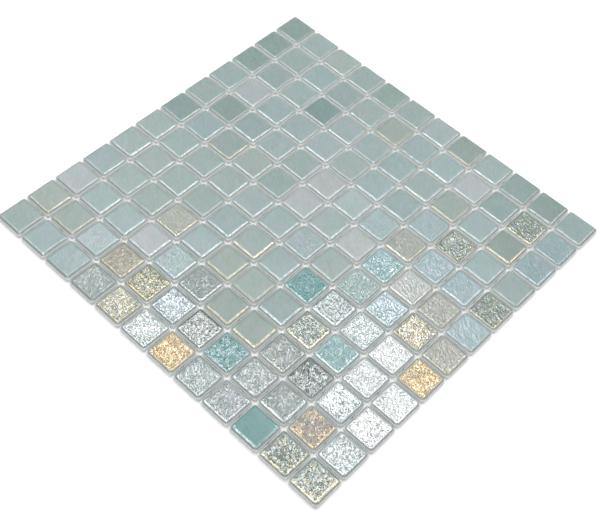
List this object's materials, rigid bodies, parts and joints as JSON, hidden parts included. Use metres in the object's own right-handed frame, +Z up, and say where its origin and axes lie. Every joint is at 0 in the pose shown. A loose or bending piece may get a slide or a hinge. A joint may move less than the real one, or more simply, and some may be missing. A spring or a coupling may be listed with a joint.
{
  "type": "mosaic tile sheet",
  "caption": "Square sheet of small pressed glass mosaic tiles with lustre finishes, held edge to edge by glue dabs on their backs, lying face up.",
  "frame": {"origin": "under the middle of the sheet, on the plane its glue dabs rest on", "axes": "+Z up, out of the faces of the tiles; +X along the rows of tiles and +Y across them"},
  "size_m": [0.3146, 0.3146, 0.0045],
  "materials": {
    "tile_glass": "opaque pressed glass, satin to gloss, mint to aqua with pearl, silver and gold lustre",
    "glue": "cured polyurethane, milky grey, satin"
  },
  "bodies": {
    "root": {"tile_row_01": "tile_glass", "tile_row_02": "tile_glass", "tile_row_03": "tile_glass", "tile_row_04": "tile_glass", "tile_row_05": "tile_glass", "tile_row_06": "tile_glass", "tile_row_07": "tile_glass", "tile_row_08": "tile_glass", "tile_row_09": "tile_glass", "tile_row_10": "tile_glass", "tile_row_11": "tile_glass", "tile_row_12": "tile_glass", "glue_dabs_row_joint_01": "glue", "glue_dabs_row_joint_02": "glue", "glue_dabs_row_joint_03": "glue", "glue_dabs_row_joint_04": "glue", "glue_dabs_row_joint_05": "glue", "glue_dabs_row_joint_06": "glue", "glue_dabs_row_joint_07": "glue", "glue_dabs_row_joint_08": "glue", "glue_dabs_row_joint_09": "glue", "glue_dabs_row_joint_10": "glue", "glue_dabs_row_joint_11": "glue", "glue_dabs_column_joint_01": "glue", "glue_dabs_column_joint_02": "glue", "glue_dabs_column_joint_03": "glue", "glue_dabs_column_joint_04": "glue", "glue_dabs_column_joint_05": "glue", "glue_dabs_column_joint_06": "glue", "glue_dabs_column_joint_07": "glue", "glue_dabs_column_joint_08": "glue", "glue_dabs_column_joint_09": "glue", "glue_dabs_column_joint_10": "glue", "glue_dabs_column_joint_11": "glue"}
  },
  "joints": []
}
